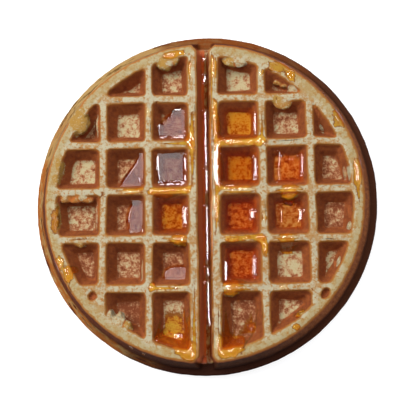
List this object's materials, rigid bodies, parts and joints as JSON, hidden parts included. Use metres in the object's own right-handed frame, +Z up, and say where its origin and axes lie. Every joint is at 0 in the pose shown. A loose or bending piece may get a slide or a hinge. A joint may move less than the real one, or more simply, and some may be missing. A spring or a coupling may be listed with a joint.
{
  "type": "round waffle",
  "caption": "Round deep-pocketed waffle, halved by a groove on each face, with a seam ridge round its side and amber syrup in its pockets.",
  "frame": {"origin": "middle of the underside, where the waffle rests", "axes": "+Z up out of the face that carries the syrup, +Y along the groove towards its far end, +X to the right across the groove"},
  "size_m": [0.18, 0.18, 0.028],
  "materials": {
    "crust": "matt baked crust, pale cream ribs, red-brown pocket walls and golden brown edges",
    "syrup": "clear glossy amber syrup"
  },
  "bodies": {
    "root": {"waffle": "crust", "syrup_groove": "syrup", "syrup_column_2_row_3": "syrup", "syrup_column_2_row_4": "syrup", "syrup_column_3_row_2": "syrup", "syrup_column_3_row_3": "syrup", "syrup_column_3_row_4": "syrup", "syrup_column_3_row_5": "syrup", "syrup_column_4_row_2": "syrup", "syrup_column_4_row_3": "syrup", "syrup_column_4_row_4": "syrup", "syrup_column_4_row_5": "syrup", "syrup_column_5_row_3": "syrup", "syrup_column_5_row_4": "syrup"}
  },
  "joints": []
}
